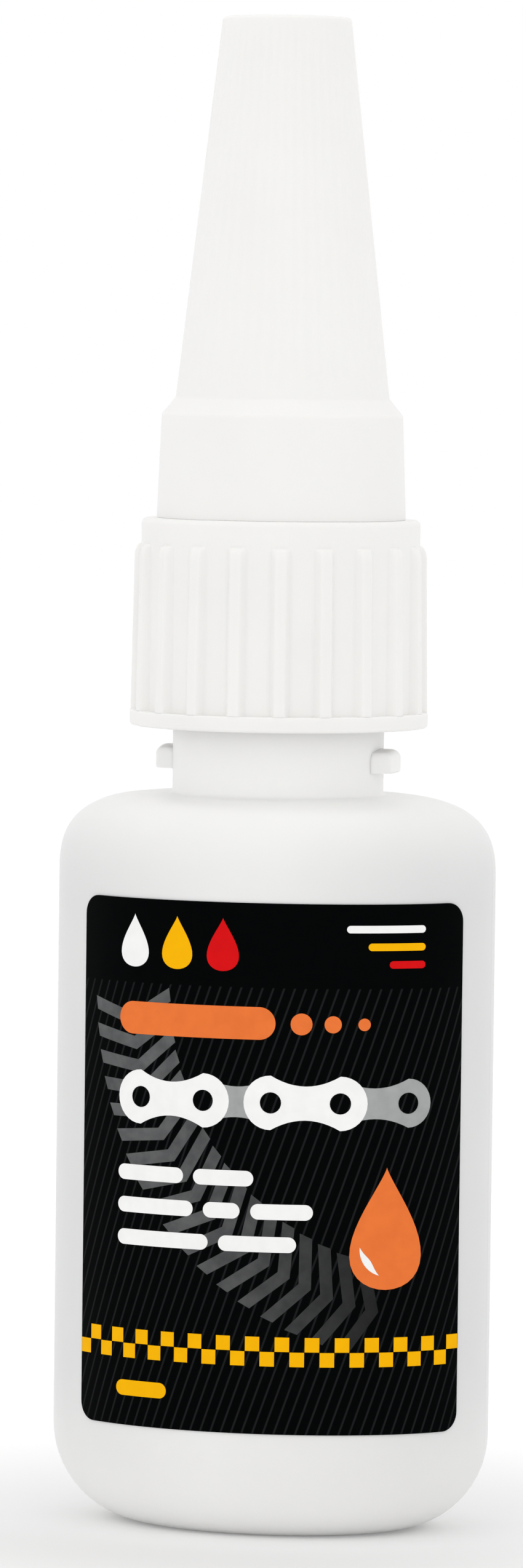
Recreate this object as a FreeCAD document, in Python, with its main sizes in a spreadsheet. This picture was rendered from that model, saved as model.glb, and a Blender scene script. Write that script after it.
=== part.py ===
import FreeCAD
import Part
import Sketcher
import os

# A small squeeze bottle for chain oil: an oval blow-moulded bottle, a printed film label on its
# front, a ribbed dropper nozzle screwed on its neck, and a tall cap over the dropper's spout.
# Millimetres. The bottle stands on z = 0, its axis is Z, and the label faces -Y.

DRIVING_SIZES = [
    # alias, value, what it measures
    ("body_width", 33.1, "oval body, across X"),
    ("body_depth", 23.0, "oval body, across Y"),
    ("base_round", 7.2, "rounding between base and wall"),
    ("shoulder_foot", 48.5, "height where the wall starts to turn in"),
    ("shoulder_rise", 6.05, "height of the shoulder"),
    ("shoulder_fullness", 2.75, "2 is an elliptic shoulder, more is squarer"),
    ("neck_foot_land", 0.3, "flat ring between neck and shoulder"),
    ("wall", 1.0, "wall of the body"),
    ("base_thickness", 1.8, "floor of the bottle at its rim"),
    ("base_recess", 0.8, "depth of the hollow under the base"),
    ("base_recess_slope", 1.0, "how far the hollow's side runs in"),
    ("foot_ring", 1.4, "flat ring that the bottle stands on"),
    ("neck_diameter", 15.7, "neck, without its thread"),
    ("neck_wall", 1.55, "wall of the neck"),
    ("neck_show", 5.05, "neck between the shoulder and the collar"),
    ("neck_thread_depth", 0.95, "room taken by the neck's thread"),
    ("lug_level", 1.78, "underside of the neck lugs above the shoulder"),
    ("lug_height", 1.75, "height of a lug"),
    ("lug_reach", 1.3, "how far a lug stands out of the neck"),
    ("lug_width", 4.2, "width of a lug along Y"),
    ("lug_round", 0.6, "rounding of a lug's upper edge"),
    ("label_thickness", 0.15, "printed film and its glue"),
    ("label_width", 27.7, "label, straight across X"),
    ("label_foot", 8.2, "label's lower edge above the base"),
    ("label_head", 1.3, "label's upper edge under the shoulder"),
    ("label_shift", 1.45, "label's middle, off the bottle's middle towards +X"),
    ("label_corner", 1.15, "radius of the label's corners"),
    ("thread_clearance", 0.3, "room between a thread and the bore round it"),
    ("collar_wall", 1.25, "wall of the screw collar between its ribs"),
    ("collar_skirt", 13.8, "collar below the neck's rim"),
    ("ring_reach", 0.73, "how far the ring at the collar's foot stands out"),
    ("ring_height", 1.15, "height of that ring"),
    ("ring_round", 0.25, "rounding of the ring's lower edge"),
    ("rib_count", 20, "grip ribs round the collar"),
    ("rib_width", 1.1, "width of a rib"),
    ("rib_reach_foot", 0.68, "rib's height at its foot"),
    ("rib_reach_top", 0.5, "rib's height at its top"),
    ("rib_nose", 1.1, "rounded top of a rib"),
    ("rib_brow_reach", 0.33, "rib's height at the brow of its rounded top"),
    ("rib_brow_drop", 0.3, "brow below the rib's upper end"),
    ("rib_root", 0.3, "rib's root inside the collar"),
    ("rib_turn", 15, "turn of the first rib from the parting line, degrees"),
    ("boss_height", 1.9, "plain band above the ribs"),
    ("boss_round", 0.4, "rounding of the band's upper edge"),
    ("top_wall", 1.6, "plate between neck and spout"),
    ("plug_length", 5.0, "sealing tube inside the neck"),
    ("plug_wall", 0.9, "wall of the sealing tube"),
    ("plug_lead", 0.35, "lead-in at the sealing tube's end"),
    ("seal_gap", 0.3, "room between sealing tube and neck"),
    ("screw_core", 13.8, "screw base of the spout, without its thread"),
    ("screw_height", 6.0, "height of the screw base"),
    ("cap_thread_depth", 0.7, "room taken by the screw base's thread"),
    ("spout_ledge", 1.0, "slope from the screw base in to the spout"),
    ("spout_wall", 0.8, "wall at the spout's foot"),
    ("spout_tip", 3.8, "spout's diameter at its tip"),
    ("spout_length", 33.4, "spout above the plate"),
    ("spout_round", 0.5, "rounding of the spout's tip"),
    ("orifice", 1.6, "hole that the oil drips from"),
    ("orifice_length", 2.5, "straight length of that hole"),
    ("tip_room", 2.5, "room between the spout's tip and the cap's roof"),
    ("skirt_height", 7.7, "cylindrical part of the cap"),
    ("skirt_wall_foot", 1.35, "wall of the skirt at its foot"),
    ("skirt_wall_top", 1.05, "wall of the skirt at its top"),
    ("step_height", 1.25, "slope between skirt and cone"),
    ("step_drop", 0.4, "inside of the slope lies this much lower"),
    ("step_round", 0.4, "rounding of the slope's two edges"),
    ("step_in", 1.02, "how far the slope runs in"),
    ("cap_top", 9.5, "cone's diameter at the top"),
    ("cap_edge_round", 0.35, "rounding of the top edge"),
    ("cap_wall", 1.05, "wall of the cone"),
    ("cap_roof", 1.2, "closed top of the cap"),
    ("pin_clearance", 0.3, "room between the sealing pin and the spout's hole"),
    ("pin_dip", 1.2, "how far the pin enters the spout's hole"),
]

# Sections of the lofted base and shoulder
BASE_STEPS = 5
SHOULDER_STEPS = 7

doc = FreeCAD.newDocument("oil_bottle")
sizes = doc.addObject("Spreadsheet::Sheet", "sizes")


def fill_sheet():
    for row, (alias, size, note) in enumerate(DRIVING_SIZES, start=1):
        sizes.set(f"A{row}", note)
        sizes.set(f"B{row}", str(size))
        sizes.setAlias(f"B{row}", alias)
    doc.recompute()


def measure(expression):
    return float(sizes.evalExpression(expression))


def bind(thing, expressions):
    for path, expression in expressions.items():
        thing.setExpression(path, expression)


def add(kind, name, expressions):
    thing = doc.addObject(kind, name)
    bind(thing, expressions)
    return thing


# Heights and radii that several pieces share
SHOULDER_TOP = "(sizes.shoulder_foot + sizes.shoulder_rise)"
NECK_RIM = f"({SHOULDER_TOP} + sizes.neck_show + sizes.collar_skirt)"
NOZZLE_DECK = f"({NECK_RIM} + sizes.top_wall)"
NECK_RADIUS = "(sizes.neck_diameter / 2)"
MOUTH_RADIUS = f"({NECK_RADIUS} - sizes.neck_wall)"

# Rings are told apart to this length
SAME_PLACE = 1e-4


# Oval sections, lofts and prisms of the bottle

def oval(name, half_width, half_depth, level):
    return add("Part::Ellipse", name, {
        "MajorRadius": half_width,
        "MinorRadius": half_depth,
        "Placement.Base.z": level,
    })


def loft(name, sections, ruled=False):
    solid = doc.addObject("Part::Loft", name)
    solid.Sections = sections
    solid.Solid = True
    solid.Ruled = ruled
    return solid


def fuse(name, pieces):
    joined = doc.addObject("Part::MultiFuse", name)
    joined.Shapes = pieces
    joined.Refine = True
    return joined


def cylinder(name, radius, height, level):
    return add("Part::Cylinder", name, {
        "Radius": radius,
        "Height": height,
        "Placement.Base.z": level,
    })


def body_form(name, wall, floor, throat):
    """The oval body from its floor to its throat, drawn in by wall from the outer face."""
    half_width = f"(sizes.body_width / 2 - {wall})"
    half_depth = f"(sizes.body_depth / 2 - {wall})"
    rounding = f"(sizes.base_round - {wall})"
    rise = f"(sizes.shoulder_rise - {wall})"

    base = []
    for step in range(BASE_STEPS + 1):
        turn = f"(90 deg * {step} / {BASE_STEPS})"
        inset = f"{rounding} * (1 - sin({turn}))"
        base.append(oval(f"{name}_base_{step}", f"{half_width} - {inset}", f"{half_depth} - {inset}",
                         f"{floor} + {rounding} * (1 - cos({turn}))"))

    shoulder = []
    for step in range(SHOULDER_STEPS + 1):
        turn = f"(90 deg * {step} / {SHOULDER_STEPS})"
        power = "(2 / sizes.shoulder_fullness)"
        across = f"(cos({turn}) ^ {power})"
        shoulder.append(oval(f"{name}_shoulder_{step}",
                             f"{throat} + ({half_width} - {throat}) * {across}",
                             f"{throat} + ({half_depth} - {throat}) * {across}",
                             f"sizes.shoulder_foot + {rise} * sin({turn}) ^ {power}"))

    return [
        loft(f"{name}_base", base),
        loft(f"{name}_side", [base[-1], shoulder[0]], ruled=True),
        loft(f"{name}_shoulder", shoulder),
    ]


def neck_lugs():
    """Two ears on the mould's parting line, cut from one rounded disc."""
    disc = cylinder("lug_disc", f"{NECK_RADIUS} + sizes.lug_reach", "sizes.lug_height",
                    f"{SHOULDER_TOP} + sizes.lug_level")
    doc.recompute()
    rounded = doc.addObject("Part::Fillet", "lug_disc_rounded")
    rounded.Base = disc
    upper = max(range(len(disc.Shape.Edges)), key=lambda i: disc.Shape.Edges[i].BoundBox.ZMin)
    rounded.Edges = [(upper + 1, measure("sizes.lug_round"), measure("sizes.lug_round"))]
    bar = add("Part::Box", "lug_bar", {
        "Length": f"2 * {NECK_RADIUS} + 4 * sizes.lug_reach",
        "Width": "sizes.lug_width",
        "Height": "sizes.lug_height",
        "Placement.Base.x": f"-({NECK_RADIUS} + 2 * sizes.lug_reach)",
        "Placement.Base.y": "-sizes.lug_width / 2",
        "Placement.Base.z": f"{SHOULDER_TOP} + sizes.lug_level",
    })
    lugs = doc.addObject("Part::Common", "lugs")
    lugs.Base = rounded
    lugs.Tool = bar
    return lugs


def make_bottle():
    outside = body_form("outer", "0", "0", f"({NECK_RADIUS} + sizes.neck_foot_land)")
    neck_length = f"{NECK_RIM} - sizes.shoulder_foot"
    neck = cylinder("neck", NECK_RADIUS, neck_length, "sizes.shoulder_foot")
    blown = fuse("blown_form", outside + [neck, neck_lugs()])

    inside = body_form("inner", "sizes.wall", "sizes.base_thickness", MOUTH_RADIUS)
    mouth = cylinder("mouth", MOUTH_RADIUS, neck_length, "sizes.shoulder_foot")
    flat = "(sizes.base_round + sizes.foot_ring)"
    deep = f"({flat} + sizes.base_recess_slope)"
    recess = loft("base_hollow", [
        oval("hollow_rim", f"sizes.body_width / 2 - {flat}", f"sizes.body_depth / 2 - {flat}", "0"),
        oval("hollow_roof", f"sizes.body_width / 2 - {deep}", f"sizes.body_depth / 2 - {deep}",
             "sizes.base_recess"),
    ], ruled=True)
    hollow = fuse("hollow_form", inside + [mouth])

    emptied = doc.addObject("Part::Cut", "emptied_form")
    emptied.Base = blown
    emptied.Tool = hollow
    bottle = doc.addObject("Part::Cut", "bottle")
    bottle.Base = emptied
    bottle.Tool = recess
    return bottle


def make_label():
    """A film wrapped on the front wall, with rounded corners."""
    top = "(sizes.shoulder_foot - sizes.label_head)"

    def prism(name, grow):
        ring = [oval(f"{name}_{end}", f"sizes.body_width / 2 + {grow}", f"sizes.body_depth / 2 + {grow}",
                     level) for end, level in (("foot", "sizes.label_foot"), ("top", top))]
        return loft(name, ring, ruled=True)

    film = doc.addObject("Part::Cut", "film_ring")
    film.Base = prism("film_outside", "sizes.label_thickness")
    film.Tool = prism("film_inside", "0")
    blank = add("Part::Box", "label_blank", {
        "Length": "sizes.label_width",
        "Width": "sizes.body_depth / 2 + sizes.label_thickness",
        "Height": f"{top} - sizes.label_foot",
        "Placement.Base.x": "sizes.label_shift - sizes.label_width / 2",
        "Placement.Base.y": "-sizes.body_depth / 2 - sizes.label_thickness",
        "Placement.Base.z": "sizes.label_foot",
    })
    doc.recompute()
    cut_out = doc.addObject("Part::Fillet", "label_outline")
    cut_out.Base = blank
    corner = measure("sizes.label_corner")
    along_y = [i for i, edge in enumerate(blank.Shape.Edges, start=1)
               if edge.BoundBox.YLength > max(edge.BoundBox.XLength, edge.BoundBox.ZLength)]
    cut_out.Edges = [(i, corner, corner) for i in along_y]
    label = doc.addObject("Part::Common", "label")
    label.Base = film
    label.Tool = cut_out
    return label


# Turned and patterned bodies

def origin_item(body, role):
    return next(item for item in body.Origin.OriginFeatures if item.Role == role)


def outline(body, name, corners):
    """A closed sketch in the XZ plane whose corners are (radius, height) expressions."""
    sketch = body.newObject("Sketcher::SketchObject", name)
    sketch.AttachmentSupport = [(origin_item(body, "XZ_Plane"), "")]
    sketch.MapMode = "FlatFace"
    spots = [FreeCAD.Vector(measure(across), measure(up), 0) for across, up in corners]
    for index, spot in enumerate(spots):
        sketch.addGeometry(Part.LineSegment(spot, spots[(index + 1) % len(spots)]), False)
    for index in range(len(spots)):
        sketch.addConstraint(Sketcher.Constraint("Coincident", index, 2, (index + 1) % len(spots), 1))
    for index, corner in enumerate(corners):
        for kind, axis, expression in (("DistanceX", -2, corner[0]), ("DistanceY", -1, corner[1])):
            if expression == "0":
                sketch.addConstraint(Sketcher.Constraint("PointOnObject", index, 1, axis))
                continue
            number = sketch.addConstraint(Sketcher.Constraint(kind, -1, 1, index, 1, measure(expression)))
            sketch.setExpression(f"Constraints[{number}]", expression)
    return sketch


def revolve(body, name, sketch):
    turned = body.newObject("PartDesign::Revolution", name)
    turned.Profile = sketch
    turned.ReferenceAxis = (sketch, ["V_Axis"])
    turned.Angle = 360
    doc.recompute()
    return turned


def round_edges(body, name, base, radius, rings):
    """Round the circular edges that lie at the given (radius, height) places."""
    places = [(measure(across), measure(up)) for across, up in rings]
    chosen = []
    for number, edge in enumerate(base.Shape.Edges, start=1):
        if not isinstance(edge.Curve, Part.Circle):
            continue
        for across, up in places:
            if abs(edge.Curve.Radius - across) < SAME_PLACE and abs(edge.Curve.Center.z - up) < SAME_PLACE:
                chosen.append(f"Edge{number}")
    fillet = body.newObject("PartDesign::Fillet", name)
    fillet.Base = (base, chosen)
    fillet.setExpression("Radius", radius)
    doc.recompute()
    return fillet


def make_nozzle():
    """Screw collar, plate, sealing tube and dropper spout, moulded in one; z = 0 is the neck's rim."""
    body = doc.addObject("PartDesign::Body", "nozzle")
    bore = f"{NECK_RADIUS} + sizes.neck_thread_depth + sizes.thread_clearance"
    collar = f"{bore} + sizes.collar_wall"
    ring = f"{collar} + sizes.ring_reach"
    foot = "-sizes.collar_skirt"
    ring_top = "-sizes.collar_skirt + sizes.ring_height"
    deck = "sizes.top_wall"
    core = "sizes.screw_core / 2"
    core_top = "sizes.top_wall + sizes.screw_height"
    spout = f"{core} - sizes.spout_ledge"
    channel = f"{spout} - sizes.spout_wall"
    tip = "sizes.spout_tip / 2"
    tip_level = "sizes.top_wall + sizes.spout_length"
    hole = "sizes.orifice / 2"
    hole_foot = f"{tip_level} - sizes.orifice_length"
    plug = f"{MOUTH_RADIUS} - sizes.seal_gap"
    tube = f"{plug} - sizes.plug_wall"
    plug_end = "-sizes.plug_length"

    section = outline(body, "nozzle_section", [
        (bore, foot), (ring, foot), (ring, ring_top), (collar, ring_top), (collar, deck), (core, deck),
        (core, core_top), (spout, f"{core_top} + sizes.spout_ledge"), (tip, tip_level), (hole, tip_level),
        (hole, hole_foot), (channel, core_top), (channel, deck), (tube, "0"), (tube, plug_end),
        (f"{plug} - sizes.plug_lead", plug_end),
        (plug, f"{plug_end} + 2 * sizes.plug_lead"), (plug, "0"), (bore, "0"),
    ])
    turned = revolve(body, "nozzle_turned", section)
    boss = round_edges(body, "boss_rounding", turned, "sizes.boss_round", [(collar, deck)])
    lip = round_edges(body, "ring_rounding", boss, "sizes.ring_round", [(ring, foot)])
    round_edges(body, "spout_rounding", lip, "sizes.spout_round", [(tip, tip_level)])

    rib_top = "sizes.top_wall - sizes.boss_height"
    rib_outline = outline(body, "rib_outline", [
        (f"{collar} - sizes.rib_root", ring_top),
        (f"{collar} + sizes.rib_reach_foot", ring_top),
        (f"{collar} + sizes.rib_reach_top", f"{rib_top} - sizes.rib_nose"),
        (f"{collar} + sizes.rib_brow_reach", f"{rib_top} - sizes.rib_brow_drop"),
        (collar, rib_top),
        (f"{collar} - sizes.rib_root", rib_top),
    ])
    rib = body.newObject("PartDesign::Pad", "rib")
    rib.Profile = rib_outline
    rib.Midplane = True
    rib.setExpression("Length", "sizes.rib_width")
    doc.recompute()
    ribs = body.newObject("PartDesign::PolarPattern", "ribs")
    ribs.Originals = [rib]
    ribs.Axis = (origin_item(body, "Z_Axis"), [""])
    ribs.Angle = 360
    ribs.setExpression("Occurrences", "sizes.rib_count")
    body.Tip = ribs
    bind(body, {"Placement.Base.z": NECK_RIM, "Placement.Rotation.Angle": "sizes.rib_turn * 1 deg"})
    return body


def make_cap():
    """Tall closed cone on a short skirt; z = 0 is its foot, on the nozzle's plate."""
    body = doc.addObject("PartDesign::Body", "cap")
    bore = "sizes.screw_core / 2 + sizes.cap_thread_depth + sizes.thread_clearance"
    skirt = f"{bore} + sizes.skirt_wall_top"
    skirt_level = "sizes.skirt_height"
    cone = f"{skirt} - sizes.step_in"
    cone_level = "sizes.skirt_height + sizes.step_height"
    top = "sizes.cap_top / 2"
    roof = "sizes.spout_length + sizes.tip_room"
    height = f"{roof} + sizes.cap_roof"
    pin = "sizes.orifice / 2 - sizes.pin_clearance"
    pin_end = "sizes.spout_length - sizes.pin_dip"

    section = outline(body, "cap_section", [
        (bore, "0"), (f"{bore} + sizes.skirt_wall_foot", "0"), (skirt, skirt_level), (cone, cone_level),
        (top, height), ("0", height), ("0", pin_end), (pin, pin_end), (pin, roof),
        (f"{top} - sizes.cap_wall", roof), (f"{cone} - sizes.cap_wall", f"{cone_level} - sizes.step_drop"),
        (bore, f"{skirt_level} - sizes.step_drop"),
    ])
    turned = revolve(body, "cap_turned", section)
    edge = round_edges(body, "top_rounding", turned, "sizes.cap_edge_round", [(top, height)])
    round_edges(body, "step_rounding", edge, "sizes.step_round", [(skirt, skirt_level), (cone, cone_level)])
    body.setExpression("Placement.Base.z", NOZZLE_DECK)
    return body


def check(sub_parts):
    for thing in doc.Objects:
        if "Invalid" in thing.State or "Error" in thing.State:
            raise RuntimeError(f"{thing.Name} failed: {thing.State}")
    for piece in sub_parts:
        if piece.Shape.isNull() or not piece.Shape.isValid() or len(piece.Shape.Solids) != 1:
            raise RuntimeError(f"{piece.Label} is not one valid solid")


fill_sheet()
sub_parts = [make_bottle(), make_label(), make_nozzle(), make_cap()]
doc.recompute()
check(sub_parts)

os.makedirs("parts", exist_ok=True)
for piece in sub_parts:
    piece.Shape.exportStep(f"parts/{piece.Label}.step")
    print(f"{piece.Label}: {piece.Shape.Volume:.1f} mm3, {piece.Shape.BoundBox}")
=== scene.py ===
# %% [markdown]
# # A chain lube bottle
# A small squeeze bottle for chain oil stands on a white table. It is an oval bottle of milky plastic
# with a printed film label, a ribbed dropper nozzle screwed on its neck, and a tall tapered cap over
# the dropper's spout. The solids of the same four pieces come from the frame. Here each one gets a
# fine mesh and a finish, and every size is either read from the frame or named where it is first used.

import math

import bmesh
import bpy
from mathutils import Matrix, Vector


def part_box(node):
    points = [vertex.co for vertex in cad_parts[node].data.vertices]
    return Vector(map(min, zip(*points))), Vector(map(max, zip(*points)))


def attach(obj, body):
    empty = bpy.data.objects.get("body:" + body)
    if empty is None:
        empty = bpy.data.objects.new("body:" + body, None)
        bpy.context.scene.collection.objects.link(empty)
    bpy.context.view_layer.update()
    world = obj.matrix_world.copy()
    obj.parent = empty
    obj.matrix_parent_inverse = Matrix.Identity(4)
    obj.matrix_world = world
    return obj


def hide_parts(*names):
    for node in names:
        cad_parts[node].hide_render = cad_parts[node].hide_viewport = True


MM = 0.001
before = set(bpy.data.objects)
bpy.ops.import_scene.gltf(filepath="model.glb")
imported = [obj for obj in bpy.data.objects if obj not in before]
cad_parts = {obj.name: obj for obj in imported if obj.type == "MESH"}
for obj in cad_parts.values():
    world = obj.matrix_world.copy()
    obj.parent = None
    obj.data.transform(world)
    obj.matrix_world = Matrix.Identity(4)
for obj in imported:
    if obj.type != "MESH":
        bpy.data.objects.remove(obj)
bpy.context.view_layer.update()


def corners(node):
    low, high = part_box(node)
    return low / MM, high / MM


bottle_low, bottle_high = corners("bottle")
label_low, label_high = corners("label")
nozzle_low, nozzle_high = corners("nozzle")
cap_low, cap_high = corners("cap")
print("bottle, mm:", [round(v, 2) for v in bottle_high - bottle_low])

# %% [markdown]
# ## Node trees
# Both the finishes and the repeating shapes below are node trees. Adding nodes one by one takes many
# lines, so a few small helpers do it: one adds a node and fills its sockets, two add maths on numbers
# and on vectors, and one adds a soft step from 0 to 1. A socket is filled with a plain value or with
# another socket.

# %% Helpers for node trees
def add_node(tree, kind, sockets=None, **settings):
    made = tree.nodes.new(kind)
    for setting, choice in settings.items():
        setattr(made, setting, choice)
    for socket, source in (sockets or {}).items():
        if isinstance(source, bpy.types.NodeSocket):
            tree.links.new(source, made.inputs[socket])
        else:
            made.inputs[socket].default_value = source
    return made


def maths(tree, operation, *terms):
    return add_node(tree, "ShaderNodeMath", dict(enumerate(terms)), operation=operation).outputs[0]


def vectors(tree, operation, *terms):
    """Vector maths; a length comes out as a number, all else as a vector."""
    made = add_node(tree, "ShaderNodeVectorMath", dict(enumerate(terms)), operation=operation)
    return made.outputs["Value" if operation == "LENGTH" else "Vector"]


def soft_step(tree, value, start, end):
    """0 at start, 1 at end, smooth between."""
    sockets = {"Value": value, "From Min": start, "From Max": end}
    return add_node(tree, "ShaderNodeMapRange", sockets, interpolation_type="SMOOTHSTEP").outputs[0]


print("helpers ready")

# %% [markdown]
# ## Tones
# No plastic and no ink has one even colour. A colour ramp turns a number, mostly a noise here, into tones
# between two colours. A noise keeps near its middle, so the ramp covers only the middle of its range.

# %% Helper for tones
NOISE_LOW, NOISE_HIGH = 0.3, 0.7


def tones(tree, factor, first, second, start=NOISE_LOW, end=NOISE_HIGH):
    """Colours between two tones, as factor runs from start to end."""
    ramp = add_node(tree, "ShaderNodeValToRGB", {"Fac": factor})
    for stop, place, tone in zip(ramp.color_ramp.elements, (start, end), (first, second)):
        stop.position = place
        stop.color = (*tone, 1.0)
    return ramp.outputs["Color"]


print("tones ready")

# %% [markdown]
# ## Milky plastic
# Bottle, nozzle and cap are natural polyethylene: pale, a little cloudy, satin, and light soaks into
# it. A plain white diffuse colour would look like paint. Subsurface scattering lets the light travel
# a little way under the skin, a slow noise clouds the tone, and a fine noise gives the skin of a moulded
# piece in roughness and bump. The bottle's colour also carries painted shade: it is painted greyer the
# farther it is from the axis, so its sides come out darker and the neck near the axis stays palest.
# Towards the foot and the top of the shoulder this painted shade is held back by height.

# %% Finish: milky plastic
NOISE_MIDDLE, CLOUD_SIZE, CLOUD_SHARE, CLOUD_DETAIL = 0.5, 9.0, 0.3, 3.0
SKIN_GRAIN, SKIN_DETAIL, SKIN_DEPTH, SKIN_STRENGTH, GLOSS_SPREAD = 0.35, 2.0, 0.012, 0.35, 0.06
SOAK_SHARE, SOAK_DEPTH, SOAK_COLOURS = 0.45, 0.18, (1.0, 0.95, 0.88)
PLASTIC_IOR = 1.5
# Zones where the painted shade is eased off: the share of it left, a height, and where the easing ends.
SHADE_EASED_ZONES = ((0.3, 0.0, 13.0), (0.45, 56.0, 46.0))


def milky_plastic(name, pale, cloud_and_shade_tone, roughness, side_shade_span=None):
    """side_shade_span: distances from the axis, in millimetres, between which painted shade grows to full.
    Each eased zone gives the share of painted shade left in it, its height, and where the easing ends."""
    finish = bpy.data.materials.new(name)
    finish.use_nodes = True
    tree = finish.node_tree
    shader = tree.nodes["Principled BSDF"]
    place = add_node(tree, "ShaderNodeTexCoord").outputs["Object"]
    cloud = add_node(tree, "ShaderNodeTexNoise",
                     {"Vector": place, "Scale": 1 / (CLOUD_SIZE * MM), "Detail": CLOUD_DETAIL}).outputs["Fac"]
    grain = add_node(tree, "ShaderNodeTexNoise",
                     {"Vector": place, "Scale": 1 / (SKIN_GRAIN * MM), "Detail": SKIN_DETAIL}).outputs["Fac"]
    shade = cloud
    # Painted shade: the colour darkens farther from the axis, less so near the foot and the shoulder.
    if side_shade_span:
        x, y, z = add_node(tree, "ShaderNodeSeparateXYZ", {0: place}).outputs
        across = add_node(tree, "ShaderNodeCombineXYZ", {"X": x, "Y": y}).outputs[0]
        side_shade = soft_step(tree, vectors(tree, "LENGTH", across), side_shade_span[0] * MM, side_shade_span[1] * MM)
        for shade_left, zone_level, ended in SHADE_EASED_ZONES:
            share = soft_step(tree, z, zone_level * MM, ended * MM)
            share = maths(tree, "MULTIPLY_ADD", share, 1 - shade_left, shade_left)
            side_shade = maths(tree, "MULTIPLY", side_shade, share)
        clouded = maths(tree, "SUBTRACT", cloud, NOISE_MIDDLE)
        shade = maths(tree, "MULTIPLY_ADD", clouded, CLOUD_SHARE, side_shade)
    start, end = (0.0, 1.0) if side_shade_span else (NOISE_LOW, NOISE_HIGH)
    tree.links.new(tones(tree, shade, pale, cloud_and_shade_tone, start, end), shader.inputs["Base Color"])
    smoothest, roughest = roughness - GLOSS_SPREAD, roughness + GLOSS_SPREAD
    uneven = add_node(tree, "ShaderNodeMapRange", {"Value": grain, "To Min": smoothest, "To Max": roughest})
    tree.links.new(uneven.outputs[0], shader.inputs["Roughness"])
    skin = add_node(tree, "ShaderNodeBump",
                    {"Height": grain, "Strength": SKIN_STRENGTH, "Distance": SKIN_DEPTH * MM})
    tree.links.new(skin.outputs[0], shader.inputs["Normal"])
    shader.inputs["Subsurface Weight"].default_value = SOAK_SHARE
    shader.inputs["Subsurface Radius"].default_value = SOAK_COLOURS
    shader.inputs["Subsurface Scale"].default_value = SOAK_DEPTH * MM
    shader.inputs["IOR"].default_value = PLASTIC_IOR
    return finish


print("plastic ready")

# %% [markdown]
# ## Three plastics
# The bottle is palest near its axis, has painted shade that makes it greyer towards its sides, and is a
# little smoother than the rest. Nozzle and cap are injection-moulded, so each has nearly one tone. One
# function with different tones makes all three, because they are the same plastic.

# %% Three plastics
# The bottle's second tone is painted shade for its sides, mixed with its cloud.
bottle_finish = milky_plastic("milky_bottle", pale=(0.959, 0.954, 0.938), cloud_and_shade_tone=(0.735, 0.735, 0.735),
                              roughness=0.36, side_shade_span=(7.0, 16.0))
nozzle_finish = milky_plastic("milky_nozzle", pale=(0.92, 0.91, 0.895), cloud_and_shade_tone=(0.895, 0.885, 0.87),
                              roughness=0.40)
cap_finish = milky_plastic("milky_cap", pale=(0.925, 0.915, 0.90), cloud_and_shade_tone=(0.90, 0.89, 0.875), roughness=0.40)
print("plastics:", bottle_finish.name, nozzle_finish.name, cap_finish.name)

# %% [markdown]
# ## Skins from rings
# Every moulded piece here is a stack of rings: ovals for the bottle, circles for the turned pieces. A
# skin joins each ring to the next, and a ring of one point closes an end. Going out under the base, up
# the outside and down the inside makes one closed wall whose faces all point outwards.

# %% Helpers for skins
def skin(rings, closed=False):
    """Points and faces through rings of equal count; a ring of one point is a pole."""
    points, starts = [], []
    for ring in rings:
        starts.append(len(points))
        points.extend(ring)
    around = max(len(ring) for ring in rings)
    pairs = list(zip(range(len(rings) - 1), range(1, len(rings))))
    if closed:
        pairs.append((len(rings) - 1, 0))
    faces = []
    for low, high in pairs:
        for here in range(around):
            there = (here + 1) % around
            spots = ((low, here), (low, there), (high, there), (high, here))
            ids = [starts[ring] + (spot if len(rings[ring]) > 1 else 0) for ring, spot in spots]
            faces.append(list(dict.fromkeys(ids)))
    return points, faces


def join_parts(*parts):
    points, faces = [], []
    for more_points, more_faces in parts:
        faces.extend([[len(points) + spot for spot in face] for face in more_faces])
        points.extend(more_points)
    return points, faces


def oval(half_width, half_depth, level, angles):
    if half_width == 0:
        return [(0.0, 0.0, level)]
    return [(half_width * math.cos(a), half_depth * math.sin(a), level) for a in angles]


def quarter_turn(steps):
    return [math.pi / 2 * step / steps for step in range(steps + 1)]


print("skins ready")

# %% [markdown]
# ## From points to a piece
# A mesh takes plain lists of points and faces. Each piece sits at the origin, unturned and unscaled, with
# its place in its mesh, so millimetres become metres here. Smooth shading that stays sharp past an angle
# shows round walls as round and corners as corners, without extra points.

# %% Helpers for pieces
CREASE = 38


def make_piece(name, points, faces, finish):
    mesh = bpy.data.meshes.new(name)
    mesh.from_pydata([Vector(point) * MM for point in points], [], faces)
    mesh.materials.append(finish)
    piece = bpy.data.objects.new(name, mesh)
    bpy.context.scene.collection.objects.link(piece)
    return piece


def smooth(piece):
    piece.data.shade_smooth()
    piece.data.set_sharp_from_angle(angle=math.radians(CREASE))


print("pieces ready")

# %% [markdown]
# ## The bottle's outline
# The bottle is blow-moulded: an oval tube of soft plastic is blown against a mould in two halves. Its
# wall is straight, its base turns in with a round edge to a narrow foot ring, less deep at front and back
# than at the sides, and its shoulder is fuller than a quarter circle, which a superellipse describes with
# one number. The inside follows the outside at the wall's thickness, so one function gives the sections
# of both.

# %% Helpers for the bottle's sections
SEAM_HEIGHT = 0.03
HALF_WIDTH, HALF_DEPTH = min(bottle_high.x, -bottle_low.x) - SEAM_HEIGHT, bottle_high.y
BASE_ROUND, FRONT_SHARE, BASE_STEPS = 7.2, 0.7, 14
SHOULDER_FOOT, SHOULDER_RISE, SHOULDER_FULLNESS, SHOULDER_STEPS = 48.5, 6.05, 2.75, 30


def base_sections(inset, floor):
    """Half width, half depth and height of each ring of the rounded base."""
    rounding = BASE_ROUND - inset
    ins = [(rounding * (1 - math.sin(t)), floor + rounding * (1 - math.cos(t)))
           for t in quarter_turn(BASE_STEPS)]
    return [(HALF_WIDTH - inset - drawn, HALF_DEPTH - inset - drawn * FRONT_SHARE, level)
            for drawn, level in ins]


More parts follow.
